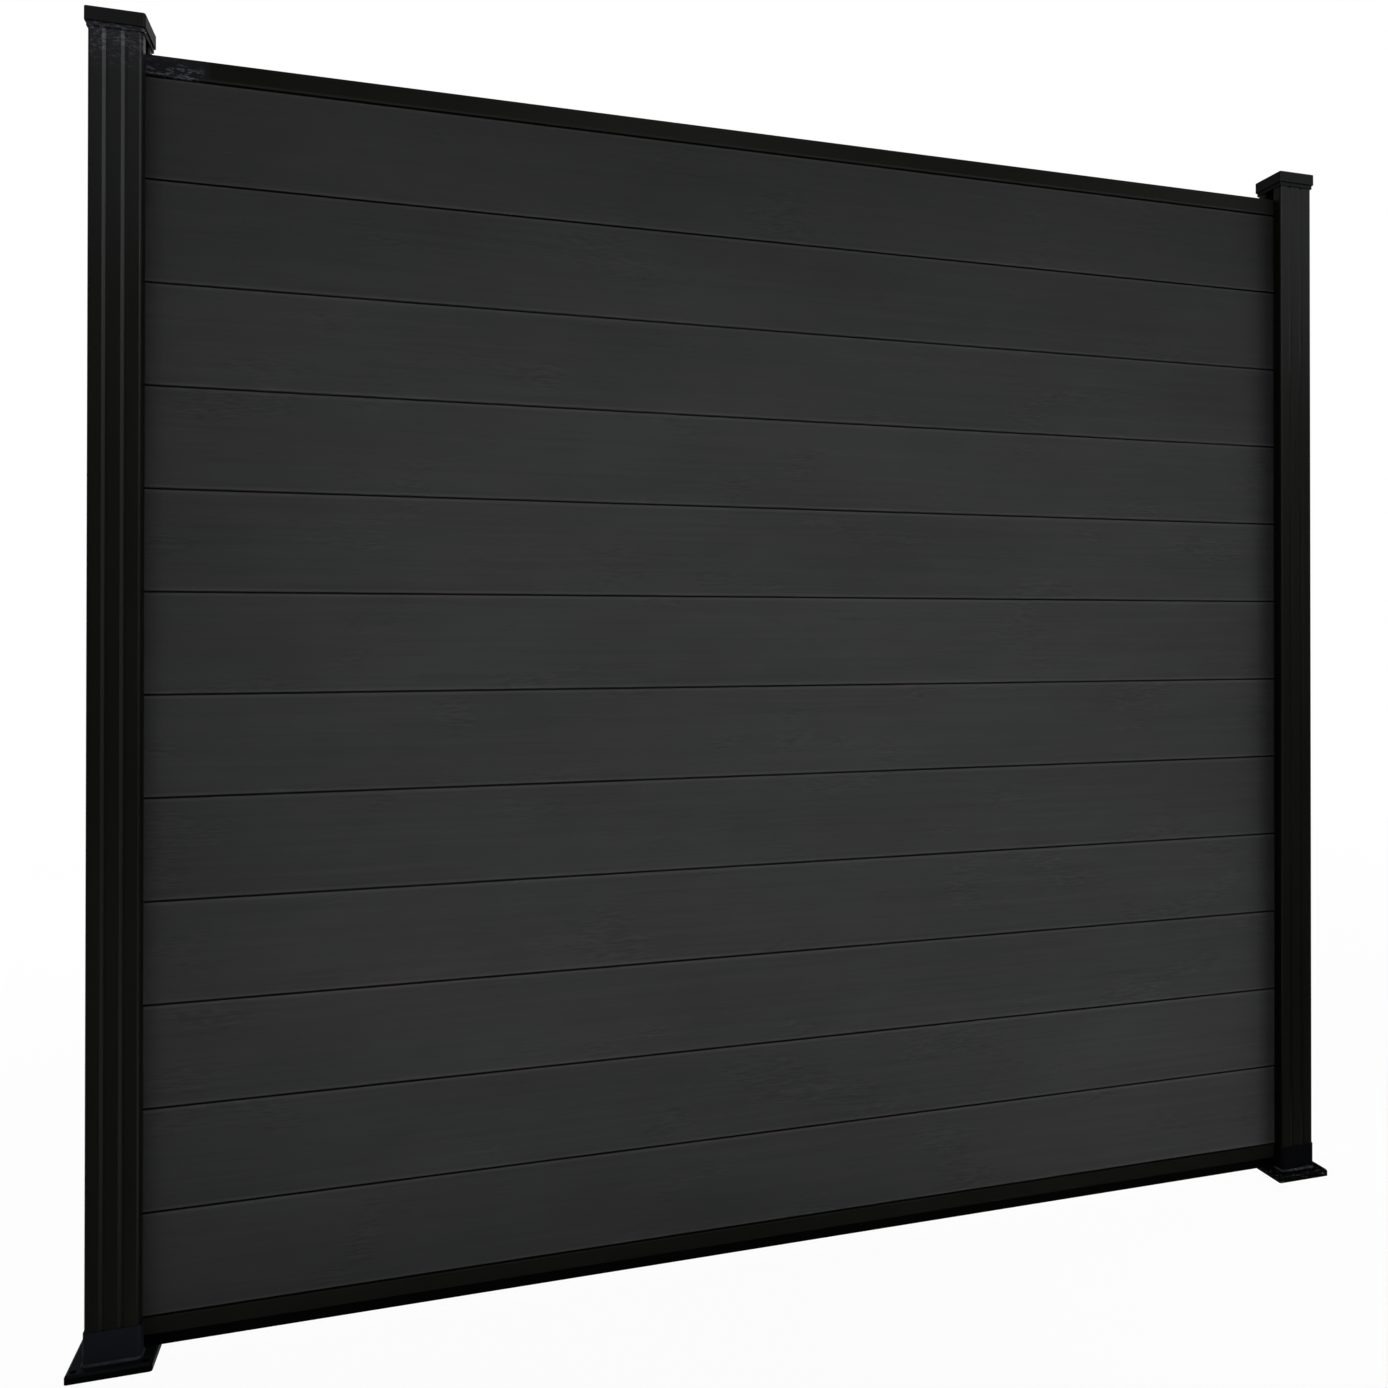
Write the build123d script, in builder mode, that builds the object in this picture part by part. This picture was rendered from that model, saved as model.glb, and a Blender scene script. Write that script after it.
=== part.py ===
# Composite fence panel: tongue-and-groove boards stacked between two slotted aluminium posts on base shoes.
# Millimetres. X runs along the panel, Y through it with the front at -Y, and Z up from the ground.

import os
from math import atan2, degrees

from build123d import *

os.makedirs("parts", exist_ok=True)

# Boards: hollow composite planks that plug into each other
board_count = 12
board_length = 1980
board_thickness = 20
board_cover = 150  # height that one board adds to the stack
board_reveal = 3  # open shadow line between two boards
board_edge_chamfer = 0.8
tongue_thickness = 8
tongue_height = 12
tongue_lead = 1
tongue_clearance = 0.3
chamber_count = 4
chamber_face_wall = 4
chamber_end_wall = 4.5
chamber_web = 4
chamber_corner = 2

# Posts: square extrusions with a slot in each of the four faces
post_width = 70
post_wall = 2.5
post_corner_radius = 5
post_headroom = 44  # post above the top rail
corner_web = 3  # overlap of the corner chambers and the core
board_slot_clearance = 2  # on each side of a board
board_end_gap = 3  # room for a board to grow in length
mouth_bevel_width = 4.4  # shallow bevel on both sides of each slot's edge
mouth_bevel_depth = 1.5

# Strips that cover the slots that hold no boards
strip_clearance = 0.2
strip_face = 3
strip_leg = 1.6

# Rails: aluminium extrusions under and over the stack
rail_wall = 2
rail_slot_clearance = 0.3
rail_edge_radius = 1.5
top_rail_height = 30
top_rail_lip_height = 4
top_rail_lip_flare = 1.4  # lip's lower edge past the rail's face
bottom_rail_face = 24.5
bottom_rail_foot_height = 18.5
bottom_rail_foot_inset = 5
ground_gap = 12  # thickness of the flanges, which carry the posts and the bottom rail

# Base shoes: a flange with a collar round the post's foot and a spigot inside its core
flange_overhang = 20
flange_corner_radius = 4
flange_edge_chamfer = 3
anchor_hole_diameter = 9
anchor_edge_distance = 10
collar_height = 46
collar_wall = 1.5
collar_clearance = 0.2
collar_edge_chamfer = 0.5
collar_foot_flare = 3  # bevel where the collar meets the flange
spigot_height = 150
spigot_wall = 3
spigot_clearance = 0.3

# Screws that hold each post on its spigot
screw_head_corners = 9  # across the corners of the hexagon
screw_head_height = 2.8
screw_shank_diameter = 4.8
screw_shank_spare = 4  # shank past the spigot's wall
screw_hole_clearance = 0.2
screw_first_height = 70  # above the flange
screw_pitch = 60
screw_rows = 2

# Caps over the post tops
cap_overhang = 4
cap_height = 27
cap_top = 3
cap_clearance = 0.2
cap_corner_radius = 3
cap_edge_chamfer = 1.2
cap_neck_height = 7
cap_neck_inset = 2.2

# Sizes that follow from the ones above
slot_width = board_thickness + 2 * board_slot_clearance
core_width = slot_width + 2 * corner_web
slot_depth = (post_width - core_width) / 2
mouth_slope = degrees(atan2(mouth_bevel_depth, mouth_bevel_width))
clear_opening = board_length + 2 * board_end_gap - 2 * slot_depth
post_offset = (clear_opening + post_width) / 2
groove_width = tongue_thickness + 2 * tongue_clearance
groove_depth = tongue_height - board_reveal
rail_thickness = slot_width - 2 * rail_slot_clearance
rail_bore = rail_thickness - 2 * rail_wall
stack_bottom = ground_gap + bottom_rail_foot_height + bottom_rail_face
stack_top = stack_bottom + board_count * board_cover
post_top = stack_top + board_reveal + top_rail_height + post_headroom
post_length = post_top - ground_gap
flange_width = post_width + 2 * flange_overhang
collar_bore = post_width + 2 * collar_clearance
collar_width = collar_bore + 2 * collar_wall
spigot_width = core_width - 2 * post_wall - 2 * spigot_clearance
screw_heights = [ground_gap + screw_first_height + row * screw_pitch for row in range(screw_rows)]
screw_hole_diameter = screw_shank_diameter + 2 * screw_hole_clearance
posts = {"left": -post_offset, "right": post_offset}


def save(part, name):
    """Labels a finished piece and writes it to its own file."""
    part.label = name
    export_step(part, f"parts/{name}.step")


def profile_plane(length, height):
    """Plane for a section that is extruded along the panel: x is across it, y is up from the height."""
    return Plane(origin=(-length / 2, 0, height), x_dir=(0, 1, 0), z_dir=(1, 0, 0))


def box_from(width, low, high, mode=Mode.ADD):
    """Rectangle centred across the panel that stands between two heights of a section."""
    with Locations((0, (low + high) / 2)):
        Rectangle(width, high - low, mode=mode)


def cut_chamber(width, height):
    """Cuts a rectangular chamber with its four corners bevelled out of a section."""
    x, y = width / 2, height / 2
    x_flat, y_flat = x - chamber_corner, y - chamber_corner
    upper = [(x, y_flat), (x_flat, y), (-x_flat, y), (-x, y_flat)]
    lower = [(-x, -y_flat), (-x_flat, -y), (x_flat, -y), (x, -y_flat)]
    Polygon(*upper, *lower, mode=Mode.SUBTRACT)


# Boards, each standing with its groove on the tongue of the one below
for number in range(1, board_count + 1):
    chamber_low = board_reveal + groove_depth + chamber_end_wall
    chamber_room = board_cover - chamber_end_wall - chamber_low
    chamber_height = (chamber_room - (chamber_count - 1) * chamber_web) / chamber_count
    chamber_width = board_thickness - 2 * chamber_face_wall
    with BuildPart() as board:
        with BuildSketch(profile_plane(board_length, stack_bottom + (number - 1) * board_cover)) as section:
            box_from(board_thickness, board_reveal, board_cover)
            chamfer(section.vertices(), board_edge_chamfer)
            box_from(tongue_thickness, board_cover, board_cover + tongue_height)
            chamfer(section.vertices().group_by(Axis.Y)[-1], tongue_lead)
            box_from(groove_width, board_reveal, board_reveal + groove_depth, mode=Mode.SUBTRACT)
            with Locations((0, chamber_low + chamber_room / 2)):
                with GridLocations(0, chamber_height + chamber_web, 1, chamber_count):
                    cut_chamber(chamber_width, chamber_height)
        extrude(amount=board_length)
    save(board.part, f"board_{number:02d}")

# Bottom rail: a box with a tongue for the first board, on a narrower foot that is open underneath
with BuildPart() as bottom_rail:
    foot_width = rail_thickness - 2 * bottom_rail_foot_inset
    face_low = bottom_rail_foot_height
    face_high = bottom_rail_foot_height + bottom_rail_face
    with BuildSketch(profile_plane(board_length, ground_gap)) as section:
        box_from(rail_thickness, face_low, face_high)
        fillet(section.vertices(), rail_edge_radius)
        box_from(foot_width, 0, face_low)
        box_from(tongue_thickness, face_high, face_high + tongue_height)
        chamfer(section.vertices().group_by(Axis.Y)[-1], tongue_lead)
        box_from(rail_bore, face_low + rail_wall, face_high - rail_wall, mode=Mode.SUBTRACT)
        box_from(foot_width - 2 * rail_wall, 0, face_low, mode=Mode.SUBTRACT)
    extrude(amount=board_length)
save(bottom_rail.part, "bottom_rail")

# Top rail: one chamber that wraps round the groove for the last board's tongue, with lips that shed water
with BuildPart() as top_rail:
    body_thickness = rail_thickness - 2 * top_rail_lip_flare
    with BuildSketch(profile_plane(board_length, stack_top + board_reveal)) as section:
        box_from(body_thickness, top_rail_lip_height, top_rail_height)
        fillet(section.vertices().group_by(Axis.Y)[-1], rail_edge_radius)
        with Locations((0, top_rail_lip_height / 2)):
            lip_slope = degrees(atan2(top_rail_lip_height, top_rail_lip_flare))
            Trapezoid(rail_thickness, top_rail_lip_height, lip_slope)
        chamber_thickness = body_thickness - 2 * rail_wall
        box_from(chamber_thickness, top_rail_lip_height, top_rail_height - rail_wall, mode=Mode.SUBTRACT)
        box_from(groove_width + 2 * rail_wall, 0, groove_depth + rail_wall)
        box_from(groove_width, 0, groove_depth, mode=Mode.SUBTRACT)
    extrude(amount=board_length)
save(top_rail.part, "top_rail")

for side, post_x in posts.items():
    inward = -1 if post_x > 0 else 1

    # Base shoe: the collar is open towards the panel, so that the bottom rail passes through to its seat
    with BuildPart() as base_shoe:
        with BuildSketch(Plane(origin=(post_x, 0, 0))):
            RectangleRounded(flange_width, flange_width, flange_corner_radius)
            hole_spacing = flange_width - 2 * anchor_edge_distance
            with GridLocations(hole_spacing, hole_spacing, 2, 2):
                Circle(anchor_hole_diameter / 2, mode=Mode.SUBTRACT)
        extrude(amount=ground_gap)
        chamfer(base_shoe.faces().sort_by(Axis.Z)[-1].outer_wire().edges(), flange_edge_chamfer)
        bore_radius = post_corner_radius + collar_clearance
        collar_radius = bore_radius + collar_wall
        flared_width = collar_width + 2 * collar_foot_flare
        with BuildSketch(Plane(origin=(post_x, 0, ground_gap))):
            RectangleRounded(flared_width, flared_width, collar_radius + collar_foot_flare)
        with BuildSketch(Plane(origin=(post_x, 0, ground_gap + collar_foot_flare))):
            RectangleRounded(collar_width, collar_width, collar_radius)
        loft()
        with BuildSketch(Plane(origin=(post_x, 0, ground_gap))):
            RectangleRounded(collar_width, collar_width, collar_radius)
        extrude(amount=collar_height)
        with BuildSketch(Plane(origin=(post_x, 0, ground_gap))):
            RectangleRounded(collar_bore, collar_bore, bore_radius)
            with Locations((inward * flared_width / 2, 0)):
                Rectangle(flared_width / 2, slot_width)
        extrude(amount=collar_height, mode=Mode.SUBTRACT)
        chamfer(base_shoe.faces().sort_by(Axis.Z)[-1].edges(), collar_edge_chamfer)
        with BuildSketch(Plane(origin=(post_x, 0, ground_gap))):
            Rectangle(spigot_width, spigot_width)
            Rectangle(spigot_width - 2 * spigot_wall, spigot_width - 2 * spigot_wall, mode=Mode.SUBTRACT)
        extrude(amount=spigot_height)
        with Locations([(post_x, 0, height) for height in screw_heights]):
            Cylinder(screw_hole_diameter / 2, spigot_width, rotation=(90, 0, 0), mode=Mode.SUBTRACT)
    save(base_shoe.part, f"{side}_base_shoe")

    # Post: four corner chambers round a square core, with bevelled slot mouths
    with BuildPart() as post:
        with BuildSketch(Plane(origin=(post_x, 0, ground_gap))):
            RectangleRounded(post_width, post_width, post_corner_radius)
            with PolarLocations((post_width - slot_depth) / 2, 4):
                Rectangle(slot_depth, slot_width, mode=Mode.SUBTRACT)
            with PolarLocations((post_width - mouth_bevel_depth) / 2, 4):
                mouth_width = slot_width + 2 * mouth_bevel_width
                Trapezoid(mouth_width, mouth_bevel_depth, mouth_slope, rotation=90, mode=Mode.SUBTRACT)
            flange = (post_width - slot_width) / 2
            with GridLocations(post_width - flange, post_width - flange, 2, 2):
                Rectangle(flange - 2 * post_wall, flange - 2 * post_wall, mode=Mode.SUBTRACT)
            Rectangle(core_width - 2 * post_wall, core_width - 2 * post_wall, mode=Mode.SUBTRACT)
        extrude(amount=post_length)
        with Locations([(post_x, 0, height) for height in screw_heights]):
            Cylinder(screw_hole_diameter / 2, core_width, rotation=(90, 0, 0), mode=Mode.SUBTRACT)
    save(post.part, f"{side}_post")

    # Strips that close the front, back and outer slots, with bevelled edges and their legs on the slot floors
    outer_turn = 180 if post_x < 0 else 0
    for face, turn in {"front": -90, "back": 90, "outer": outer_turn}.items():
        with BuildPart() as strip:
            strip_width = slot_width - 2 * strip_clearance
            body_depth = slot_depth - mouth_bevel_depth
            with BuildSketch(Plane(origin=(post_x, 0, ground_gap)).rotated((0, 0, turn))):
                with Locations(((core_width + body_depth) / 2, 0)):
                    Rectangle(body_depth, strip_width)
                with Locations(((post_width - mouth_bevel_depth) / 2, 0)):
                    Trapezoid(strip_width, mouth_bevel_depth, mouth_slope, rotation=-90)
                with Locations(((post_width - slot_depth) / 2 - strip_face, 0)):
                    Rectangle(slot_depth, strip_width - 2 * strip_leg, mode=Mode.SUBTRACT)
            extrude(amount=post_length)
        save(strip.part, f"{side}_{face}_strip")

    # Screws through the floors of the front and back slots into the spigot
    with BuildPart() as screws:
        shank = post_wall + spigot_clearance + spigot_wall + screw_shank_spare
        for height in screw_heights:
            for facing in (-1, 1):
                seat = Plane(origin=(post_x, facing * core_width / 2, height), z_dir=(0, facing, 0))
                with BuildSketch(seat):
                    RegularPolygon(screw_head_corners / 2, 6)
                extrude(amount=screw_head_height)
                with BuildSketch(seat):
                    Circle(screw_shank_diameter / 2)
                extrude(amount=-shank)
    save(screws.part, f"{side}_post_screws")

    # Cap: a flat lid with a skirt, over a narrower neck that grips the post
    with BuildPart() as cap:
        cap_width = post_width + 2 * cap_overhang
        cap_low = post_top + cap_top - cap_height
        neck_width = cap_width - 2 * cap_neck_inset
        with BuildSketch(Plane(origin=(post_x, 0, cap_low))):
            RectangleRounded(neck_width, neck_width, cap_corner_radius)
        extrude(amount=cap_neck_height)
        with BuildSketch(Plane(origin=(post_x, 0, cap_low + cap_neck_height))):
            RectangleRounded(cap_width, cap_width, cap_corner_radius)
        extrude(amount=cap_height - cap_neck_height)
        chamfer(cap.faces().sort_by(Axis.Z)[-1].edges(), cap_edge_chamfer)
        with BuildSketch(Plane(origin=(post_x, 0, cap_low))):
            bore = post_width + 2 * cap_clearance
            RectangleRounded(bore, bore, post_corner_radius)
        extrude(amount=cap_height - cap_top, mode=Mode.SUBTRACT)
    save(cap.part, f"{side}_post_cap")
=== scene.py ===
# %% [markdown]
# # A composite fence panel, dressed in Blender
# The panel is twelve charcoal boards stacked between two black aluminium posts. Its shapes are finished
# before this lesson starts: every board, rail, post, strip, cap and shoe arrives as a mesh in metres,
# standing where it belongs. What is left to do is what the eye notices next: the grain pressed into the
# boards, the pebbled skin of the powder coat, the soft light and the place that the panel is seen from.

# %% Load the finished shapes
import math

import bpy
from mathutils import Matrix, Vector


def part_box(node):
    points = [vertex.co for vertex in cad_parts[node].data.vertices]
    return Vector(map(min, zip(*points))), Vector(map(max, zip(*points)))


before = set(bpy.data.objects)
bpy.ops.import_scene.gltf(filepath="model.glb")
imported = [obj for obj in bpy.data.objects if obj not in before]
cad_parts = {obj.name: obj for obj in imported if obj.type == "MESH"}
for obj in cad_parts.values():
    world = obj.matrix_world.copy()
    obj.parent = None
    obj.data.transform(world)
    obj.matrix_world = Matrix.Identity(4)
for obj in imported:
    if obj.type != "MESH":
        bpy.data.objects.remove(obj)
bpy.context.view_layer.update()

print("pieces loaded:", len(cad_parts))

# %% [markdown]
# ## A small kit for mixing finishes
# A finish is a network of nodes. Each one below is built from the same three moves: add a node, set the
# values that stay the same all over the surface straight on its sockets, and link the values that change
# from place to place. One helper that does all three keeps the cells short, so each reads like a recipe.
# The finish of the boards is started here, with nothing in it yet but a plain surface.


# %% The node helper
def add(finish, kind, **sockets):
    """Adds one node. A socket given as another node's output is linked, any other value is set."""
    tree = finish.node_tree
    node = tree.nodes.new(kind)
    for name, value in sockets.items():
        if hasattr(node, name) and name.islower():
            setattr(node, name, value)
            continue
        key = int(name[1:]) if name[0] == "_" else name.replace("_", " ")
        if isinstance(value, bpy.types.NodeSocket):
            tree.links.new(value, node.inputs[key])
        else:
            node.inputs[key].default_value = value
    return node


def new_finish(name):
    """An empty finish that ends in one Principled surface."""
    finish = bpy.data.materials.new(name)
    finish.use_nodes = True
    finish.node_tree.nodes.clear()
    surface = add(finish, "ShaderNodeBsdfPrincipled")
    add(finish, "ShaderNodeOutputMaterial", Surface=surface.outputs["BSDF"])
    return finish, surface


composite, board_surface = new_finish("charcoal_composite")
print(composite.name, "starts with", len(composite.node_tree.nodes), "nodes")

# %% [markdown]
# ## Places on the object
# Everything that varies over a surface starts from a place on it. A place could be counted in the picture,
# but then the grain would swim as the camera moves. Object coordinates are in metres and fixed to the
# piece, so a pattern has a real size and stays where it is.


# %% Coordinates in metres
def place_on(finish):
    """The place on the object."""
    return add(finish, "ShaderNodeTexCoord").outputs["Object"]


def axes(finish):
    """The place on the object, split in three: X along the panel, Y through it and Z up."""
    return add(finish, "ShaderNodeSeparateXYZ", Vector=place_on(finish)).outputs


along, height = axes(composite)["X"], axes(composite)["Z"]
print("along the panel is", along.name, "and up is", height.name)

# %% [markdown]
# ## Grain for the boards
# The boards are extruded from wood fibre and plastic, then brushed and embossed, so they show fine streaks
# along their length, slow lighter and darker patches, and no gloss. A picture of wood could be wrapped
# round them, but it would repeat and blur close up. Noise that is stretched along the board has neither
# fault. Every board also needs a stretch of its own: its number in the stack, counted from its height,
# seeds a random shift of the pattern. A slow wave then bends the streaks, because no grain runs dead level.

# %% Which board a place is on
board_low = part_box("board_01")[0].z
board_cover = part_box("board_02")[0].z - board_low
half_gap = 0.0015


def combine(finish, operation, first, second):
    """One step of arithmetic on two values."""
    return add(finish, "ShaderNodeMath", operation=operation, _0=first, _1=second).outputs[0]


from_stack = combine(composite, "SUBTRACT", height, board_low - half_gap)
board_number = combine(composite, "FLOOR", combine(composite, "DIVIDE", from_stack, board_cover), 0.0)
seed = add(composite, "ShaderNodeTexWhiteNoise", noise_dimensions="1D", W=board_number)
print("boards", round(board_cover * 1000), "mm apart, first at", round(board_low * 1000), "mm")

# %% A stretch of grain for each board
longest_shift = (9.0, 3.0, 0.0)


def stretched(finish, vector, scale):
    """The same coordinates, multiplied by a different number along each axis."""
    return add(finish, "ShaderNodeVectorMath", operation="MULTIPLY", _0=vector, _1=scale).outputs[0]


def shifted(finish, vector, step):
    """The same coordinates, moved by a step."""
    return add(finish, "ShaderNodeVectorMath", operation="ADD", _0=vector, _1=step).outputs[0]


own_shift = stretched(composite, seed.outputs["Color"], longest_shift)
own_place = shifted(composite, place_on(composite), own_shift)
print("grain shifted by up to", longest_shift[0], "m along a board")

# %% A slow wave in the grain
wave_height = 0.006


def noise(finish, vector, scale, detail=2.0, roughness=0.5):
    """Smooth random values near 0.5 that repeat about scale times a metre."""
    return add(
        finish, "ShaderNodeTexNoise", Vector=vector, Scale=scale, Detail=detail, Roughness=roughness
    ).outputs["Fac"]


def streaks(finish, vector, per_metre, detail=2.0, roughness=0.5):
    """Noise that repeats a different number of times a metre along each axis."""
    return noise(finish, stretched(finish, vector, per_metre), 1.0, detail, roughness)


def between(finish, value, low, high, to_low=0.0, to_high=1.0):
    """Moves a value from one range to another, and holds it at the ends."""
    return add(
        finish, "ShaderNodeMapRange", Value=value, From_Min=low, From_Max=high, To_Min=to_low, To_Max=to_high
    ).outputs["Result"]


wave = streaks(composite, own_place, (2.2, 1.0, 7.0))
wave_rise = between(composite, wave, 0.0, 1.0, -wave_height, wave_height)
lift = add(composite, "ShaderNodeCombineXYZ", Z=wave_rise).outputs[0]
grain_place = shifted(composite, own_place, lift)
print("grain rises and falls by up to", wave_height * 1000, "mm")

# %% [markdown]
# ## The tone of the boards
# Seen from a step away the boards are one charcoal, and closer up they are many. Streaks of two widths,
# slow patches, a small mottle and clusters of short pressed dashes each push the tone up or down a little
# round a middle that differs from board to board. One pattern alone would look printed. A ramp turns the
# sum into grey, and one more slow pattern warms some patches, as wood fibre does near the surface.

# %% Patterns of seven sizes
fine = streaks(composite, grain_place, (9.0, 60.0, 620.0), 4.0, 0.62)
broad = streaks(composite, grain_place, (2.4, 20.0, 105.0), 3.0, 0.55)
pores = streaks(composite, grain_place, (34.0, 80.0, 900.0))
dashes = streaks(composite, grain_place, (46.0, 60.0, 430.0), 1.0)
patch = streaks(composite, own_place, (1.7, 2.0, 5.0), 3.0, 0.55)
mottle = streaks(composite, own_place, (13.0, 10.0, 24.0))
cluster = streaks(composite, own_place, (6.0, 4.0, 12.0))
print("nodes in the grain so far:", len(composite.node_tree.nodes))


# %% Adding up the tone
def swing(pattern, low, high, reach):
    """A pattern as a change of tone, from reach below to reach above."""
    return between(composite, pattern, low, high, -reach, reach)


def both(finish, first, second):
    """Two values multiplied: the overlap of two masks, or a mask made weaker by a number."""
    return combine(finish, "MULTIPLY", first, second)


tone_changes = {
    "fine streaks": swing(fine, 0.25, 0.75, 0.10),
    "broad streaks": swing(broad, 0.25, 0.75, 0.11),
    "patches": swing(patch, 0.3, 0.7, 0.13),
    "mottle": swing(mottle, 0.3, 0.7, 0.045),
    "dashes": both(composite, between(composite, cluster, 0.56, 0.66), swing(dashes, 0.38, 0.62, 0.17)),
}
tone = between(composite, seed.outputs["Value"], 0.0, 1.0, 0.46, 0.54)
for change in tone_changes.values():
    tone = combine(composite, "ADD", tone, change)
print("tone changed by", ", ".join(tone_changes))


# %% Charcoal and warm patches
def mix(finish, mask, under, over, blend="MIX"):
    """Lays one colour over another as strongly as the mask says, or multiplies the two there."""
    under, over = ((*colour, 1.0) if isinstance(colour, tuple) else colour for colour in (under, over))
    return add(
        finish, "ShaderNodeMix", data_type="RGBA", blend_type=blend, _0=mask, _6=under, _7=over
    ).outputs[2]


charcoal = add(composite, "ShaderNodeValToRGB", Fac=tone)
dark_end, light_end = charcoal.color_ramp.elements
dark_end.color = (0.0220, 0.0222, 0.0223, 1)
light_end.color = (0.0424, 0.0428, 0.0429, 1)
warm_patch = streaks(composite, own_place, (3.1, 2.0, 11.0), 3.0, 0.6)
warmth = between(composite, warm_patch, 0.50, 0.68, 0.0, 0.55)
board_colour = mix(composite, warmth, charcoal.outputs["Color"], (1.09, 0.965, 0.985), "MULTIPLY")
print("charcoal from", round(dark_end.color[0], 4), "to", round(light_end.color[0], 4))

# %% [markdown]
# ## Edges, joints and shaded ends
# Each board's top and bottom edges carry a painted highlight, the tongue at the bottom of each open joint is
# painted near black, both painted shade and dirt, and the ends beside the posts carry a painted shadow of the
# posts. All three depend on a place and not on chance, so each is a mask measured from the board's own edge
# or from the post's side. Dirt that was modelled would cost many faces and show no more.

# %% Painted edge highlights and black joints
paler = 1.40
joint_black = 0.0030


def grey(value):
    """A colour with three equal parts."""
    return (value, value, value)


above_first = combine(composite, "SUBTRACT", height, board_low)
up_the_board = combine(composite, "FLOORED_MODULO", above_first, board_cover)
top_edge = between(composite, up_the_board, board_cover - 0.0085, board_cover - 0.0045)
low_edge = between(composite, up_the_board, 0.0008, 0.0050, 1.0, 0.0)
# painted highlight along the top and bottom edge of each board
painted_edge_highlights = combine(composite, "MAXIMUM", top_edge, low_edge)
board_colour = mix(composite, painted_edge_highlights, board_colour, grey(paler), "MULTIPLY")
# the tongue in each open joint painted near black: painted shade in the gap, and dirt
in_gap = between(composite, up_the_board, board_cover - 0.0034, board_cover - 0.0030, 0.0, 0.9)
board_colour = mix(composite, in_gap, board_colour, grey(joint_black))
print("edges are", paler, "times as pale as the face")

# %% Painted post shadows on the board ends
end_shade = 0.35
left_end, right_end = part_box("left_post")[1].x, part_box("right_post")[0].x


def link(finish, source, target):
    """Links an output to an input."""
    finish.node_tree.links.new(source, target)


# painted shadow of each post on the board ends beside it, stronger by the far post
by_left_post = between(composite, along, left_end + 0.004, left_end + 0.024, 0.35, 0.0)
by_right_post = between(composite, along, right_end - 0.038, right_end - 0.012, 0.0, 0.7)
painted_post_shadow = combine(composite, "MAXIMUM", by_left_post, by_right_post)
board_colour = mix(composite, painted_post_shadow, board_colour, grey(end_shade), "MULTIPLY")
link(composite, board_colour, board_surface.inputs["Base Color"])
print("boards are seen for", round(right_end - left_end, 3), "m between the posts")

# %% [markdown]
# ## The brushed skin of the boards
# Brushing leaves a matt surface with shallow grooves. The same streaks that colour the board drive its
# roughness and its bump, so that each dark streak is also a groove, and the pores are pressed in deeper. The
# grooves are well under a millimetre deep, so bump is enough and the mesh can stay plain.

# %% Roughness and bump
groove_depth = 0.0006
link(composite, between(composite, fine, 0.3, 0.7, 0.58, 0.74), board_surface.inputs["Roughness"])
board_surface.inputs["Specular IOR Level"].default_value = 0.004
brushed = combine(composite, "ADD", both(composite, fine, 0.45), both(composite, broad, 0.35))
pressed = combine(composite, "SUBTRACT", brushed, between(composite, pores, 0.60, 0.72, 0.0, 0.35))
grain_bump = add(composite, "ShaderNodeBump", Strength=0.35, Distance=groove_depth, Height=pressed)
link(composite, grain_bump.outputs["Normal"], board_surface.inputs["Normal"])
print("grooves up to", round(groove_depth * 1000, 1), "mm deep")

# %% [markdown]
# ## Powder coat for the aluminium
# Posts, strips and rails are extruded aluminium with a baked black powder coat. The powder flows out to a
# faintly pebbled skin: satin, nearly black, with soft highlights on the edges. The pebbles are about a
# millimetre across, so a fine noise in the bump is enough, and slower noise in the roughness keeps long
# reflections alive. The shine is set far lower than on real powder coat, because the white surroundings
# would otherwise wash the black out.


# %% Satin black
def powder_coat(name, dark, light, satin, shine, pebble, depth):
    """Black coating: two blacks in slow patches, a roughness round satin, and pebbles of a given size."""
    finish, surface = new_finish(name)
    place = place_on(finish)
    slow = streaks(finish, place, (7.0, 7.0, 2.0), 3.0, 0.6)
    blacks = mix(finish, between(finish, slow, 0.3, 0.7), dark, light)
    specks = between(finish, noise(finish, place, 420.0, 3.0, 0.7), 0.64, 0.74, 0.0, 0.4)
    dusted = mix(finish, specks, blacks, (0.010, 0.010, 0.011))
    link(finish, dusted, surface.inputs["Base Color"])
    smooth = between(finish, slow, 0.3, 0.7, satin - 0.04, satin + 0.04)
    dulled = combine(finish, "ADD", smooth, both(finish, specks, 0.2))
    link(finish, dulled, surface.inputs["Roughness"])
    surface.inputs["Specular IOR Level"].default_value = shine
    pebbles = noise(finish, place, pebble)
    bump = add(finish, "ShaderNodeBump", Strength=0.5, Distance=depth, Height=pebbles)
    link(finish, bump.outputs["Normal"], surface.inputs["Normal"])
    print(name, "pebbles", round(1000 / pebble, 1), "mm across")
    return finish


fine_pebble, fine_depth = 800.0, 0.00006
satin_black = powder_coat(
    "satin_black_coat", (0.0037, 0.0039, 0.0028), (0.0051, 0.0053, 0.0038), 0.33, 0.018,
    fine_pebble, fine_depth)

# %% [markdown]
# ## Rails, caps and shoes
# The rails carry the same coat in a slightly olive black, and the bottom rail's copy of it is darker: painted
# shade. The caps are moulded plastic: the same black, a little duller, with a finer skin. The base shoes are
# castings under the same coat, so sand from the mould still shows as coarser pebbles, and their lighter,
# bluish black is a painted reflection. One function makes all these blacks, so only their numbers differ.

# %% Rail coat, cap plastic and cast shoe
rail_black = powder_coat(
    "rail_olive_black", (0.0062, 0.0066, 0.0052), (0.0078, 0.0083, 0.0066), 0.40, 0.003,
    fine_pebble, fine_depth)
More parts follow.
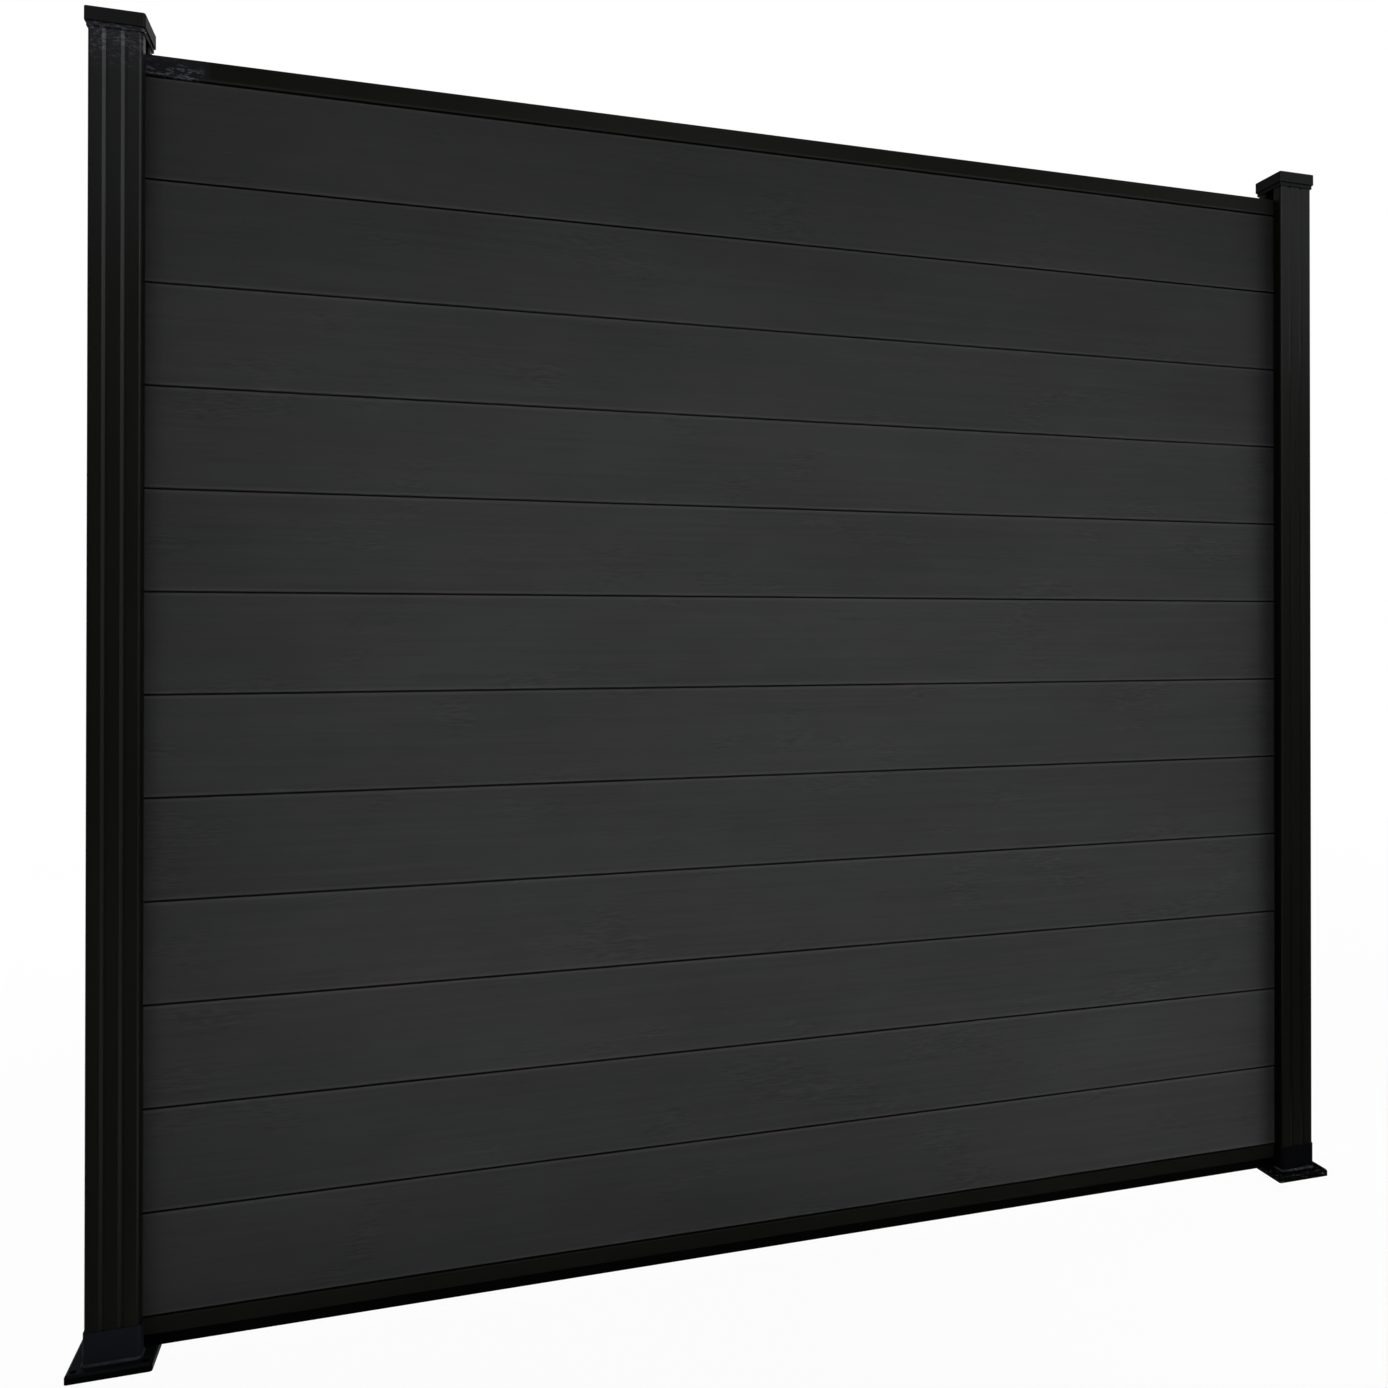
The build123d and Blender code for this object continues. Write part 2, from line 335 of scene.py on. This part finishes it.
# the bottom rail's coat, darker than the top rail's: painted shade
bottom_rail_black = powder_coat(
    "bottom_rail_black", (0.0050, 0.0050, 0.0040), (0.0066, 0.0066, 0.0054), 0.45, 0.008,
    fine_pebble, fine_depth)
cap_black = powder_coat(
    "cap_plastic_black", (0.0024, 0.0025, 0.0022), (0.0036, 0.0037, 0.0033), 0.42, 0.013,
    1500.0, 0.00004)
# the shoes' lighter, bluish black is a painted reflection
shoe_black = powder_coat(
    "cast_shoe_black", (0.0072, 0.0082, 0.0104), (0.0098, 0.0112, 0.0142), 0.42, 0.005,
    420.0, 0.00015)

# %% [markdown]
# ## Screws
# The screws that hold each post on its shoe are bright zinc, hidden behind the strips. Zinc is a metal with
# a cloudy skin, so one noise drives both its colour and its roughness.

# %% Zinc for the screws
brightest, roughest = 0.62, 0.44
zinc, zinc_surface = new_finish("bright_zinc")
cloud = noise(zinc, place_on(zinc), 300.0, 3.0, 0.6)
zinc_colour = mix(zinc, between(zinc, cloud, 0.3, 0.7), (0.46, 0.46, 0.47), (brightest, brightest, 0.63))
link(zinc, zinc_colour, zinc_surface.inputs["Base Color"])
link(zinc, between(zinc, cloud, 0.3, 0.7, 0.26, roughest), zinc_surface.inputs["Roughness"])
zinc_surface.inputs["Metallic"].default_value = 1.0
print(zinc.name, "up to", brightest, "bright and", roughest, "rough")

# %% [markdown]
# ## Wear, painted light and painted shade
# A finish looks real when it is worn in the right places. Each kind of wear below is a colour laid over the
# coat through a mask. Some masks follow no wear at all: they are painted light and painted shade, which the
# lamps of this scene don't give. The bottom rail comes first. Its recessed foot is painted near black, a
# painted shade, and its face has painted light at the near end and a painted shadow at the far end.

# %% Painted shade and light on the bottom rail
rail_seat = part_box("bottom_rail")[0].z
foot_top = rail_seat + 0.0185


def lay_over(finish, mask, colour):
    """Lays one more colour over a finish, as strongly as the mask says at each place."""
    base = finish.node_tree.nodes["Principled BSDF"].inputs["Base Color"]
    link(finish, mix(finish, mask, base.links[0].from_socket, colour), base)


coat = bottom_rail_black
along, height = axes(coat)["X"], axes(coat)["Z"]
# painted light on the near end of the face
lay_over(coat, between(coat, along, -1.0, -0.2, 0.5, 0.0), (0.0085, 0.0085, 0.0070))
# painted shadow on the far end of the face
lay_over(coat, between(coat, along, 0.3, 0.9, 0.0, 0.45), (0.0024, 0.0024, 0.0019))
# the recessed foot painted near black: painted shade under the rail's face
lay_over(coat, between(coat, height, foot_top, foot_top + 0.0006, 1.0, 0.0), grey(0.0003))
print("matt foot from", round(rail_seat * 1000, 1), "to", round(foot_top * 1000, 1), "mm")

# %% [markdown]
# ## The base shoes
# Grit scuffs the foot of each shoe's collar to a lighter line with a painted highlight, and gravel chips the
# far shoe, with painted glints. The flanges under the collars are blacker than the collars, and the whole far
# shoe is blacker too, a painted shade. A collar starts where the bottom rail sits, so that height parts the
# masks.

# %% Black flanges, painted shade on the far shoe, and scuffs with a painted highlight
coat = shoe_black
along, height = axes(coat)["X"], axes(coat)["Z"]
flange = between(coat, height, rail_seat - 0.0001, rail_seat + 0.0001, 0.97, 0.0)
lay_over(coat, flange, (0.0006, 0.0008, 0.0008))
# painted shade over the whole far shoe
lay_over(coat, between(coat, along, -0.5, 0.5, 0.0, 0.92), (0.0010, 0.0011, 0.0013))

# a lighter line at the foot of each collar: scuffs with a painted highlight
scuff_and_highlight_start = between(coat, height, rail_seat + 0.0002, rail_seat + 0.0008)
scuff_and_highlight_end = between(coat, height, rail_seat + 0.0028, rail_seat + 0.0042, 1.0, 0.0)
patchy = between(coat, noise(coat, place_on(coat), 60.0, 3.0, 0.6), 0.40, 0.60, 0.15, 0.9)
lay_over(coat, both(coat, both(coat, scuff_and_highlight_start, scuff_and_highlight_end), patchy), (0.032, 0.033, 0.037))
print("scuffed line", round(rail_seat * 1000, 1), "mm above the ground")

# %% Chips with painted glints on the far shoe
chip_top = 0.020
grit = streaks(coat, place_on(coat), (150.0, 150.0, 260.0), 3.0, 0.65)
# bright chips on the far shoe, partly painted glints
chips_and_glints = both(coat, between(coat, grit, 0.61, 0.67), between(coat, along, 0.0, 0.5))
near_ground = between(coat, height, 0.016, chip_top, 0.8, 0.0)
lay_over(coat, both(coat, chips_and_glints, near_ground), (0.100, 0.102, 0.108))
print("chips up to", round(chip_top * 1000), "mm")

# %% [markdown]
# ## The top rail and the far post
# The lip along the top rail's lower edge carries a painted highlight, stronger towards the far end, and the
# far end of the whole rail is lighter than the rest, painted light. The far post turns darker towards the
# ground, a painted shade. Its mask needs two limits: one along the panel, to leave the near post alone, and
# one up the post, to fade out.

# %% Painted highlight on the lip and painted light on the far end
rail_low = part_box("top_rail")[0].z
lip_top = rail_low + 0.0044
coat = rail_black
along, height = axes(coat)["X"], axes(coat)["Z"]
# painted light on the far end of the rail
lay_over(coat, between(coat, along, 0.35, 0.85, 0.0, 0.75), (0.0165, 0.0165, 0.0150))
# painted highlight along the rail's lower lip
lip = between(coat, height, rail_low + 0.0036, lip_top, 1.0, 0.0)
lay_over(coat, both(coat, lip, between(coat, along, -1.0, 1.0, 0.45, 0.9)), (0.017, 0.017, 0.016))
print("lip rubbed up to", round(lip_top * 1000, 1), "mm")

# %% Painted shade on the foot of the far post
shade_top = 1.35
coat = satin_black
along, height = axes(coat)["X"], axes(coat)["Z"]
# painted shade low on the far post
painted_far_post_shade = both(coat, between(coat, along, 0.8, 0.9), between(coat, height, 0.75, shade_top, 0.38, 0.0))
lay_over(coat, painted_far_post_shade, (0.0006, 0.0006, 0.0004))
print("far post darker up to", shade_top, "m")

# %% [markdown]
# ## Film on the near corner
# New profiles are wrapped in a thin film, and a rest of it clings to the near top corner: a bluish veil with
# pale creases on the post, on the cap's neck and on the end of the top rail. Further down the post, a faint
# bluish lightening in the same tint is a painted sheen. A sheet of its own would be too thin to see, so the
# film is two more colours on the coat, and only on the front.

# %% A veil with creases
film_and_sheen_tint = (0.0130, 0.0130, 0.0165)
crease_tint = (0.105, 0.106, 0.116)
film_strength = 0.75


def cling(finish, reach, crease_scale, crease_reach):
    """A veil of film where reach says, with paler creases in it where crease_reach says."""
    lay_over(finish, both(finish, reach, film_strength), film_and_sheen_tint)
    creases = between(finish, streaks(finish, place_on(finish), crease_scale, 3.0, 0.7), 0.52, 0.60)
    lay_over(finish, both(finish, creases, crease_reach), crease_tint)


def near_front(finish, end, fade):
    """The front half of the panel from its near end to a given distance along, then fading out."""
    front_half = between(finish, axes(finish)["Y"], -0.004, 0.004, 1.0, 0.0)
    return both(finish, between(finish, axes(finish)["X"], end, end + fade, 1.0, 0.0), front_half)


print("film laid on at", film_strength, "of its own colour")

# %% Film and painted sheen on the post
post_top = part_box("left_post")[1].z
post_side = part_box("left_post")[1].x
film_low = post_top - 0.085
small_creases = (110.0, 110.0, 240.0)
crease_strength = 0.65

near_post = near_front(coat, post_side, 0.004)
# painted sheen: a faint bluish lightening of the upper near post, in the film's tint
painted_sheen = between(coat, height, post_top - 0.43, post_top - 0.26, 0.0, 0.17)
lay_over(coat, both(coat, near_post, painted_sheen), film_and_sheen_tint)
under_cap = both(coat, near_post, between(coat, height, film_low, post_top - 0.015))
cling(coat, under_cap, small_creases, both(coat, under_cap, crease_strength))
print("film down to", round(film_low, 3), "m")

# %% Film on the cap's neck
cap_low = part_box("left_post_cap")[0].z
neck_top = cap_low + 0.0070
coat = cap_black
neck = between(coat, axes(coat)["Z"], cap_low + 0.0066, neck_top, 1.0, 0.0)
near_neck = both(coat, near_front(coat, post_side, 0.02), neck)
cling(coat, near_neck, small_creases, both(coat, near_neck, crease_strength))
print("film on the neck up to", round(neck_top, 3), "m")

# %% Film on the end of the top rail
film_end, film_fade = post_side + 0.078, 0.008
long_creases = (75.0, 75.0, 300.0)
coat = rail_black
near_end = near_front(coat, film_end, film_fade)
creased_end = near_front(coat, post_side + 0.062, 0.018)
low_half = between(coat, axes(coat)["Z"], rail_low + 0.010, rail_low + 0.022, 1.0, 0.2)
cling(coat, near_end, long_creases, both(coat, creased_end, low_half))
print("film along to", round(film_end + film_fade, 3), "m")

# %% [markdown]
# ## Dressing the pieces
# Every piece keeps its mesh and gets its finish on the material slot that it came with. The names say what
# a piece is, so the name picks the finish. Posts and strips share the satin black.

# %% Finishes by name
for name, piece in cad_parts.items():
    if name.startswith("board"):
        finish = composite
    elif name.endswith("screws"):
        finish = zinc
    elif name.endswith("cap"):
        finish = cap_black
    elif name.endswith("shoe"):
        finish = shoe_black
    elif name == "bottom_rail":
        finish = bottom_rail_black
    elif name == "top_rail":
        finish = rail_black
    else:
        finish = satin_black
    piece.data.materials.clear()
    piece.data.materials.append(finish)
print("pieces dressed:", len(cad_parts))

# %% [markdown]
# ## A white studio
# The panel stands on a plain white floor in a white room, as in a catalogue. A white room that also lit the
# panel at full strength would turn its blacks grey. So floor and room are white where they are looked at or
# mirrored, and dimmer where they only light. The rays of a render say which of the two they are doing.


# %% A flat sheet for the floor
def sheet(name, surface_name, corners):
    """A flat sheet between four corners, with an empty network of nodes for its surface."""
    mesh = bpy.data.meshes.new(name)
    mesh.from_pydata(corners, [], [(0, 1, 2, 3)])
    surface = bpy.data.materials.new(surface_name)
    surface.use_nodes = True
    surface.node_tree.nodes.clear()
    mesh.materials.append(surface)
    flat = bpy.data.objects.new(name, mesh)
    bpy.context.scene.collection.objects.link(flat)
    return flat, surface


reach, just_below = 30.0, -0.0004
floor, white_floor = sheet("studio_floor", "white_floor", [
    (-reach, -reach, just_below), (reach, -reach, just_below),
    (reach, reach, just_below), (-reach, reach, just_below)])
print("floor", 2 * reach, "m wide")

# %% White to look at and dimmer as a light
floor_white, floor_bounce = 0.95, 0.6
pure_white = (1.0, 1.0, 1.0, 1)


def looking(network):
    """One for a ray that looks at or mirrors a surface, and nought for a ray that only carries light."""
    path = add(network, "ShaderNodeLightPath")
    seen = combine(network, "MAXIMUM", path.outputs["Is Camera Ray"], path.outputs["Is Glossy Ray"])
    return combine(network, "MAXIMUM", seen, path.outputs["Is Transmission Ray"])


away = add(white_floor, "ShaderNodeVectorMath", operation="LENGTH", _0=place_on(white_floor)).outputs["Value"]
paint = add(white_floor, "ShaderNodeBsdfDiffuse", Color=(*grey(floor_white), 1)).outputs[0]
glow = add(white_floor, "ShaderNodeEmission", Color=pure_white, Strength=1.0).outputs[0]
fade = between(white_floor, away, 1.5, 6.0, 0.95, 1.0)
seen_floor = add(white_floor, "ShaderNodeMixShader", _0=fade, _1=paint, _2=glow).outputs[0]
bounce = add(white_floor, "ShaderNodeBsdfDiffuse", Color=(*grey(floor_bounce), 1)).outputs[0]
whole_floor = add(white_floor, "ShaderNodeMixShader", _0=looking(white_floor), _1=bounce, _2=seen_floor)
add(white_floor, "ShaderNodeOutputMaterial", Surface=whole_floor.outputs[0])
print("floor", floor_white, "white to look at and", floor_bounce, "as a light")

# %% The world
backdrop_level, light_level = 1.0, 0.53
world = bpy.data.worlds.new("white_studio")
bpy.context.scene.world = world
world.use_nodes = True
world.node_tree.nodes.clear()
lighting = add(world, "ShaderNodeBackground", Color=pure_white, Strength=light_level).outputs[0]
backdrop = add(world, "ShaderNodeBackground", Color=pure_white, Strength=backdrop_level).outputs[0]
room = add(world, "ShaderNodeMixShader", _0=looking(world), _1=lighting, _2=backdrop).outputs[0]
add(world, "ShaderNodeOutputWorld", Surface=room)
print("room", backdrop_level, "white to look at and", light_level, "as a light")

# %% [markdown]
# ## Softboxes
# Four lamps shape the light on the panel. One behind a grid lifts the middle of the boards, one lifts the
# lower right, one far to the right lets the right post throw its shadow on the boards, and one lights the
# back. A lamp is set by its brightness, so its size can change without changing how bright it looks. None of
# the four is mirrored: that is left to the cards in the next step.


# %% The softboxes
def softbox(name, place, aim, width, tall, brightness, spread=180.0):
    """A rectangular lamp of an even brightness: its power is brightness times area times pi."""
    lamp = bpy.data.lights.new(name, "AREA")
    lamp.shape = "RECTANGLE"
    lamp.size, lamp.size_y = width, tall
    lamp.energy = brightness * width * tall * math.pi
    lamp.spread = math.radians(spread)
    holder = bpy.data.objects.new(name, lamp)
    holder.location = place
    holder.rotation_euler = (Vector(aim) - Vector(place)).to_track_quat("-Z", "Y").to_euler()
    holder.visible_camera = False
    bpy.context.scene.collection.objects.link(holder)
    print(name, round(lamp.energy, 1), "W")
    return holder


grid_box = softbox("grid_softbox", (0.02, -3.6, 0.88), (0.02, 0.0, 0.88), 1.98, 1.6, 0.39, 17.0)
foot_box = softbox("foot_softbox", (0.85, -3.6, 1.2), (0.85, 0.0, -0.14), 0.96, 0.52, 0.49, 17.0)
side_box = softbox("side_softbox", (4.5, -1.6, 0.6), (0.6, 0.0, 0.86), 1.2, 1.6, 1.29, 41.5)
back_box = softbox("back_softbox", (0.0, 4.2, 1.4), (0.0, 0.0, 0.9), 3.0, 2.0, 4.2)
for box in (grid_box, foot_box, side_box, back_box):
    box.visible_glossy = False

# %% [markdown]
# ## Cards for the reflections
# Black shows little of the light that falls on it and a lot of what it mirrors, so a photographer sets up
# cards just to be mirrored. Six cards stand in front, for the front of each post and for the right-hand
# bevels beside the near post's strip. The higher ones are brighter, so the light lines fade towards the
# ground. Four more are aimed one by one: one overhead for every bevel that faces up, two on the floor for the
# lowest stretch of the near bevels, and one beside the far post. A card lights nothing: it is only mirrored.

# %% The standing cards
front_tint, bevel_tint = (0.88, 0.91, 1.0), (0.94, 0.96, 1.0)
# Each card's place, width, height and brightness
standing_cards = {
    "near_front_card": ((-2.7, -2.4, 3.05), 3.9, 0.95, 7.7),
    "near_bevel_high": ((0.17, -2.4, 3.10), 0.8, 1.0, 66.0),
    "near_bevel_middle": ((0.17, -2.4, 2.25), 0.8, 0.7, 26.0),
    "near_bevel_low": ((0.17, -2.4, 1.15), 0.8, 1.5, 10.0),
    "far_front_high": ((2.2, -2.4, 2.85), 2.9, 1.1, 10.0),
    "far_front_middle": ((2.2, -2.4, 2.0), 2.9, 0.6, 2.2),
}
for name, (place, width, tall, brightness) in standing_cards.items():
    card = softbox(name, place, (place[0], 0.0, place[2]), width, tall, brightness)
    card.data.color = front_tint if "front" in name else bevel_tint
    card.visible_diffuse = False

# %% The aimed cards
ceiling = softbox("ceiling_card", (1.2, -1.95, 4.4), (1.2, -1.94, 0.0), 8.0, 1.9, 11.0)
low_card = softbox("near_bevel_floor", (-0.28, -1.5, 0.02), (-0.28, -1.49, 3.0), 0.9, 2.5, 7.0)
far_side = softbox("far_bevel_card", (1.35, -0.13, 2.12), (0.0, -0.13, 2.12), 0.3, 1.0, 2.5)
foot_card = softbox("near_bevel_foot", (-0.84, -0.36, 0.02), (-0.84, -0.35, 3.0), 0.34, 0.5, 2.6)
for card in (ceiling, low_card, far_side, foot_card):
    card.visible_diffuse = False

# %% [markdown]
# ## A black flag
# A flag is a black cloth that keeps light away. The lower bevels of the far post would mirror the white room
# as bright lines, so a flag stands to the right of that post. Only reflections see it: it throws no shadow
# and the camera looks past it.

# %% The flag
flag_place, flag_front, flag_back, flag_top = 1.35, -0.28, 0.5, 1.3
flag, black_cloth = sheet("black_flag", "black_cloth", [
    (flag_place, flag_front, 0.0), (flag_place, flag_back, 0.0),
    (flag_place, flag_back, flag_top), (flag_place, flag_front, flag_top)])
cloth = add(black_cloth, "ShaderNodeEmission", Color=(0.0, 0.0, 0.0, 1), Strength=0.0).outputs[0]
add(black_cloth, "ShaderNodeOutputMaterial", Surface=cloth)
flag.visible_camera = False
flag.visible_diffuse = False
flag.visible_shadow = False
flag.visible_transmission = False
print("flag", round(flag_back - flag_front, 2), "m wide and", flag_top, "m tall")

# %% [markdown]
# ## The camera
# The panel is seen from the left of its middle, a little over a metre up and about two metres away, turned
# to the right so that the far post looks smaller. The place, the turn and the lens come from matching the
# straight lines of the joints, rails and posts. The lens is shifted, as a view camera's would be, so the
# posts stay upright.

# %% Place the camera
photo_size = 1388
focal_length = 1264.16
centre_x, centre_y = 850.03, 624.69
turn, tilt = math.radians(18.6355), math.radians(0.2912)
lens = bpy.data.cameras.new("camera")
lens.sensor_width = 36.0
lens.lens = focal_length / photo_size * lens.sensor_width
lens.shift_x = (photo_size / 2 - centre_x) / photo_size
lens.shift_y = (centre_y - photo_size / 2) / photo_size
camera = bpy.data.objects.new("camera", lens)
camera.location = (-0.5899, -2.0735, 1.0490)
camera.rotation_euler = (math.pi / 2 + tilt, 0.0, -turn)
bpy.context.scene.collection.objects.link(camera)
bpy.context.scene.camera = camera
bpy.context.scene.view_settings.view_transform = "Standard"
print("lens", round(lens.lens, 2), "mm, shift", round(lens.shift_x, 4), round(lens.shift_y, 4))
